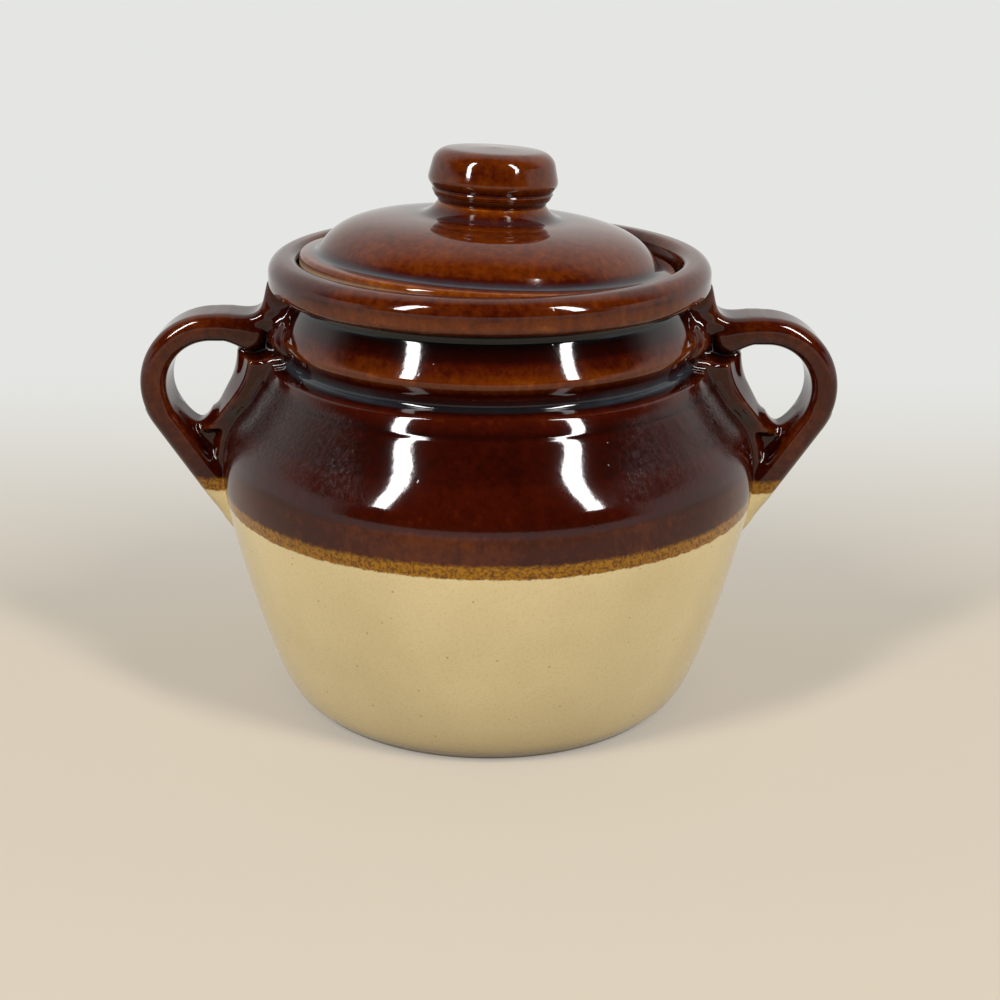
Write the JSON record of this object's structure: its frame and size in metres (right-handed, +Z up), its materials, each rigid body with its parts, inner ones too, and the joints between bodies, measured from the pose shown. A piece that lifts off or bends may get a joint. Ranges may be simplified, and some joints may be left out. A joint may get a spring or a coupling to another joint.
{
  "type": "lidded bean pot",
  "caption": "Round-bellied stoneware bean pot with a rolled rim, closed loop handles at the sides and a loose domed lid with a squat knob.",
  "frame": {"origin": "centre of the foot ring, on the plane that the pot stands on", "axes": "+Z up along the pot's turning axis, X through the two handles, -Y towards the front"},
  "size_m": [0.2248, 0.174, 0.1805],
  "materials": {
    "two_tone_glaze": "glossy brown glaze over cream glaze",
    "brown_glaze": "glossy brown glaze"
  },
  "bodies": {
    "pot": {"pot_body": "two_tone_glaze", "handle_left": "brown_glaze", "handle_right": "brown_glaze"},
    "lid": {"lid": "brown_glaze", "lid_knob": "brown_glaze"}
  },
  "joints": [
    {"name": "lid_lift", "type": "slide", "parent": "pot", "child": "lid", "axis": [0, 0, 1], "range_m": [0, 0.12]}
  ]
}
